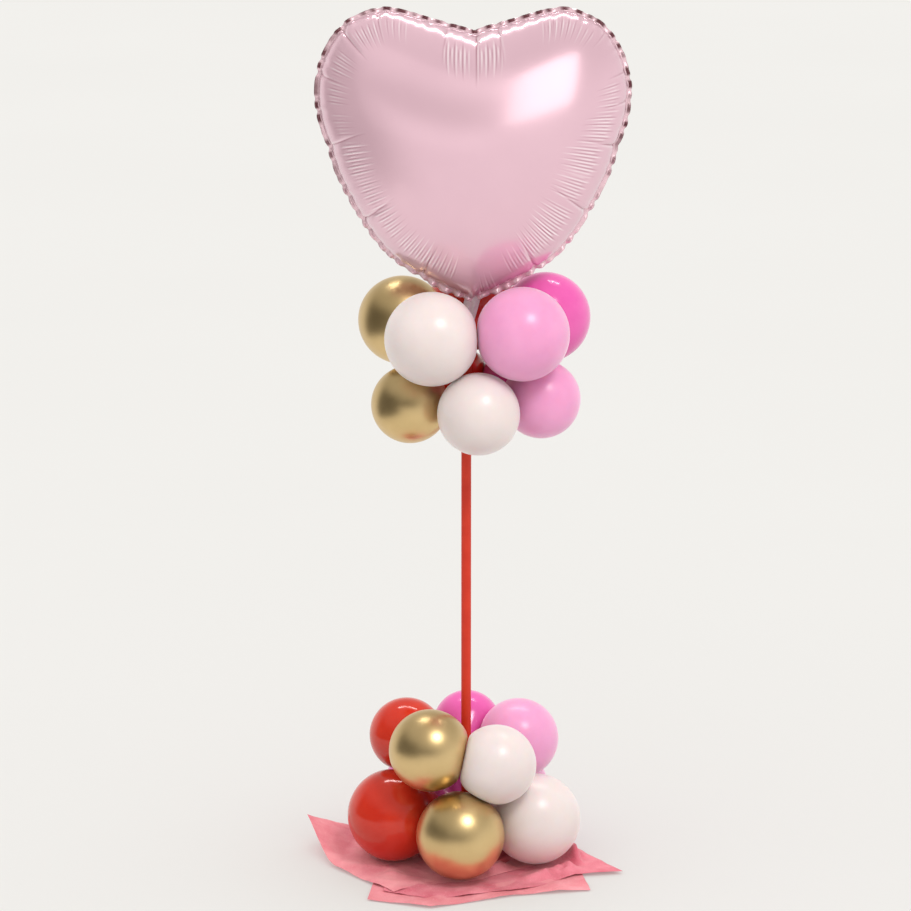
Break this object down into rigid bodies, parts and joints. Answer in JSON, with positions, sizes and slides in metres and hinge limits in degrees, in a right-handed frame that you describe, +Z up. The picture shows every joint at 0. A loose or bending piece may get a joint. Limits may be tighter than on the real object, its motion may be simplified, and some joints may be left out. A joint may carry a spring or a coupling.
{
  "type": "balloon column",
  "caption": "Table centrepiece: a pillow-like foil heart over two rings-of-balloons clusters on a slim pole, in a weighted base set on loose sheets of tissue paper.",
  "frame": {"origin": "on the pole's axis, at the underside of the base pad, where the column meets the table", "axes": "+Z up along the pole, -Y towards the front of the heart, +X to the right seen from the front"},
  "size_m": [0.4139, 0.345, 1.1071],
  "materials": {
    "pad_rubber": "matte black sheet rubber",
    "weight_steel": "white powder coat on a steel disc",
    "socket_plastic": "white moulded plastic",
    "screw_steel": "zinc plated steel",
    "tissue": "crumpled pink tissue paper",
    "pole_paint": "satin red enamel on a thin tube",
    "plug_plastic": "red moulded plastic",
    "latex_gold": "metallic gold latex with a mirror-like sheen",
    "latex_white": "semi-gloss white latex",
    "latex_pink": "semi-gloss light pink latex",
    "latex_hot_pink": "semi-gloss hot pink latex",
    "latex_red": "glossy red latex",
    "latex_neck": "twisted latex necks",
    "foil_pink": "satin pink metallised film",
    "foil_silver": "pearly silver film",
    "cup_plastic": "white moulded plastic"
  },
  "bodies": {
    "base": {"base_pad": "pad_rubber", "base_plate": "weight_steel", "base_socket": "socket_plastic", "base_screws": "screw_steel", "tissue_sheet_1": "tissue", "tissue_sheet_2": "tissue", "tissue_sheet_3": "tissue"},
    "column": {"pole_tube": "pole_paint", "pole_foot_plug": "plug_plastic"},
    "base_cluster": {"base_lower_balloon_gold": "latex_gold", "base_lower_balloon_white": "latex_white", "base_lower_balloon_pink": "latex_pink", "base_lower_balloon_hot_pink": "latex_hot_pink", "base_lower_balloon_red": "latex_red", "base_upper_balloon_gold": "latex_gold", "base_upper_balloon_white": "latex_white", "base_upper_balloon_pink": "latex_pink", "base_upper_balloon_hot_pink": "latex_hot_pink", "base_upper_balloon_red": "latex_red", "base_lower_tie": "latex_neck", "base_upper_tie": "latex_neck"},
    "top_cluster": {"top_lower_balloon_gold": "latex_gold", "top_lower_balloon_white": "latex_white", "top_lower_balloon_pink": "latex_pink", "top_lower_balloon_hot_pink": "latex_hot_pink", "top_lower_balloon_red": "latex_red", "top_upper_balloon_gold": "latex_gold", "top_upper_balloon_white": "latex_white", "top_upper_balloon_pink": "latex_pink", "top_upper_balloon_hot_pink": "latex_hot_pink", "top_upper_balloon_red": "latex_red", "top_lower_tie": "latex_neck", "top_upper_tie": "latex_neck"},
    "heart": {"heart_front_panel": "foil_pink", "heart_back_panel": "foil_pink", "heart_tail": "foil_silver", "heart_cup": "cup_plastic"}
  },
  "joints": [
    {"name": "pole_lift", "type": "slide", "parent": "base", "child": "column", "axis": [0, 0, 1], "range_m": [0, 0.04]},
    {"name": "base_cluster_turn", "type": "hinge", "parent": "column", "child": "base_cluster", "pos_m": [0, 0, 0.105], "axis": [0, 0, 1], "continuous": true},
    {"name": "top_cluster_turn", "type": "hinge", "parent": "column", "child": "top_cluster", "pos_m": [0, 0, 0.65], "axis": [0, 0, 1], "continuous": true},
    {"name": "heart_turn", "type": "hinge", "parent": "column", "child": "heart", "pos_m": [0, 0, 0.702], "axis": [0, 0, 1], "range_deg": [-35, 35]}
  ]
}
